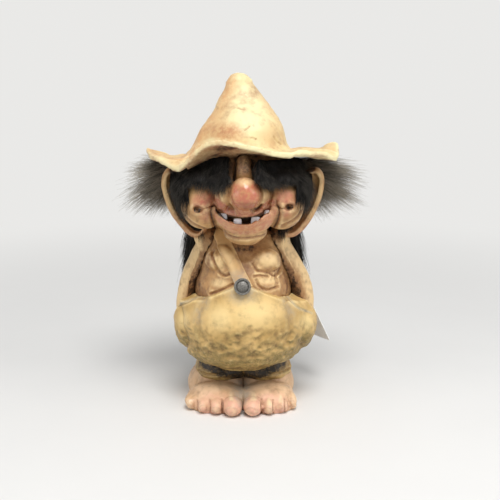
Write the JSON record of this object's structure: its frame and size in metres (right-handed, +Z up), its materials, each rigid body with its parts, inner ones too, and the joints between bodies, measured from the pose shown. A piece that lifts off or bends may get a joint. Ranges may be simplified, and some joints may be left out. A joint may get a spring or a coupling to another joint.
{
  "type": "troll figure",
  "caption": "Standing folk troll figure with a wide pointed hat, fur hair, big ears, a grin, balloon trousers on one strap, bare feet and a swinging paper tag.",
  "frame": {"origin": "on the floor under the middle of the figure, on the sole pad between the ankles", "axes": "+Z up through the hat's tip, the face looks along -Y, the figure's own left hand is on the +X side"},
  "size_m": [0.1322, 0.0922, 0.18],
  "materials": {
    "painted_skin": "satin painted latex, tan with brown antiquing",
    "painted_hat": "satin painted latex, pale ochre with brown antiquing",
    "painted_trousers": "satin painted latex, ochre with brown antiquing",
    "painted_strap": "satin painted latex, light brown",
    "button_metal": "dark grey, worn",
    "tooth_enamel": "glossy off-white paint",
    "eye_glass": "black-brown glass, polished",
    "black_fur": "long black fur",
    "tipped_fur": "long black fur with grey-beige tips",
    "peg_wood": "bare birch dowel",
    "pad_leather": "thin brown leather, rough side down",
    "pin_plastic": "natural nylon",
    "tag_paper": "blank white card"
  },
  "bodies": {
    "figure": {"head": "painted_skin", "left_ear": "painted_skin", "right_ear": "painted_skin", "torso": "painted_skin", "left_arm": "painted_skin", "right_arm": "painted_skin", "left_foot": "painted_skin", "right_foot": "painted_skin", "tail": "painted_skin", "hat": "painted_hat", "trousers": "painted_trousers", "left_trouser_leg": "painted_trousers", "right_trouser_leg": "painted_trousers", "shoulder_strap": "painted_strap", "strap_button": "button_metal", "teeth": "tooth_enamel", "left_eye": "eye_glass", "right_eye": "eye_glass", "left_fringe": "black_fur", "right_fringe": "black_fur", "left_side_hair": "tipped_fur", "right_side_hair": "tipped_fur", "back_hair": "black_fur", "tail_tuft": "black_fur", "neck_peg": "peg_wood", "sole_pad": "pad_leather", "tag_pin": "pin_plastic"},
    "tag": {"hang_tag": "tag_paper"}
  },
  "joints": [
    {"name": "tag_swing", "type": "hinge", "parent": "figure", "child": "tag", "pos_m": [0.03637, 0.021, 0.046], "axis": [0.7647, 0.4415, 0.4695], "range_deg": [-40, 40]}
  ]
}
